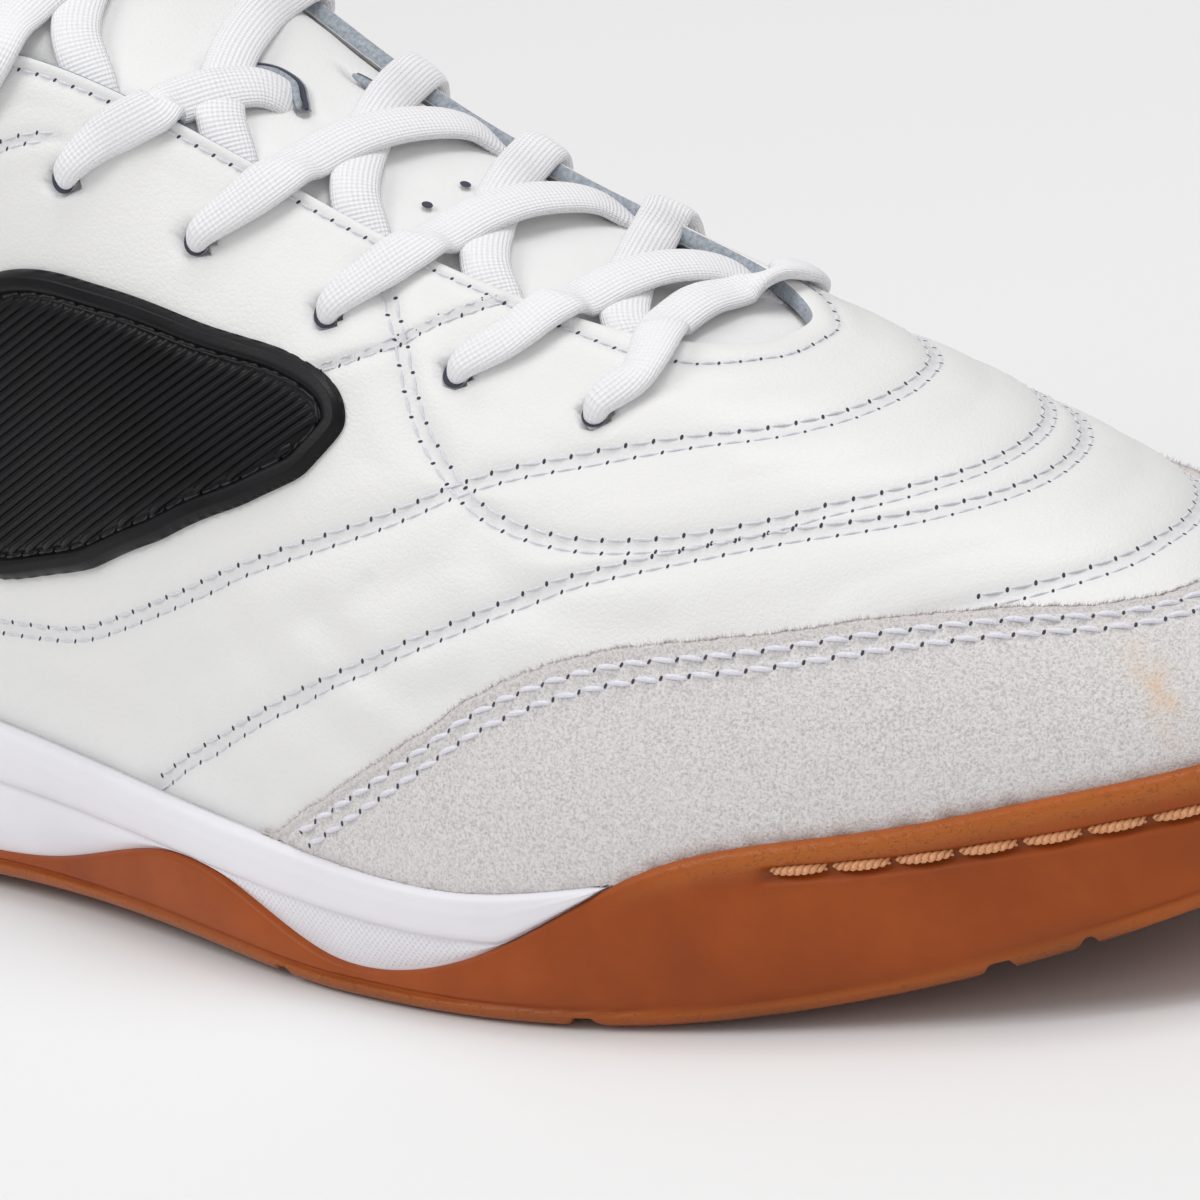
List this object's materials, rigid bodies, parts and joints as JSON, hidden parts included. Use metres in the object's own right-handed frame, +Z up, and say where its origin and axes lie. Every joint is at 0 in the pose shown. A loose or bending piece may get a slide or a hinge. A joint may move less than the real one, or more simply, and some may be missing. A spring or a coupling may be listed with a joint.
{
  "type": "indoor soccer shoe",
  "caption": "Low-cut indoor soccer shoe for the right foot: white leather upper, grey suede toe guard, black side panels, flat lace, white foam midsole and gum rubber outsole.",
  "frame": {"origin": "middle of the shoe's bounding box at the floor", "axes": "+X to the toe, +Y to the inner side of the foot, +Z up"},
  "size_m": [0.291, 0.1027, 0.1387],
  "materials": {
    "gum_rubber": "smooth moulded gum rubber",
    "foam": "smooth moulded foam",
    "lining": "knitted lining",
    "leather": "smooth full-grain leather",
    "suede": "napped suede",
    "black_panel": "embossed with fine slanted ribs",
    "lace": "flat woven lace"
  },
  "bodies": {
    "root": {"outsole": "gum_rubber", "midsole": "foam", "insole": "lining", "upper": "leather", "tongue": "leather", "toe_guard": "suede", "side_panel_outer": "black_panel", "side_panel_inner": "black_panel", "lace": "lace"}
  },
  "joints": []
}
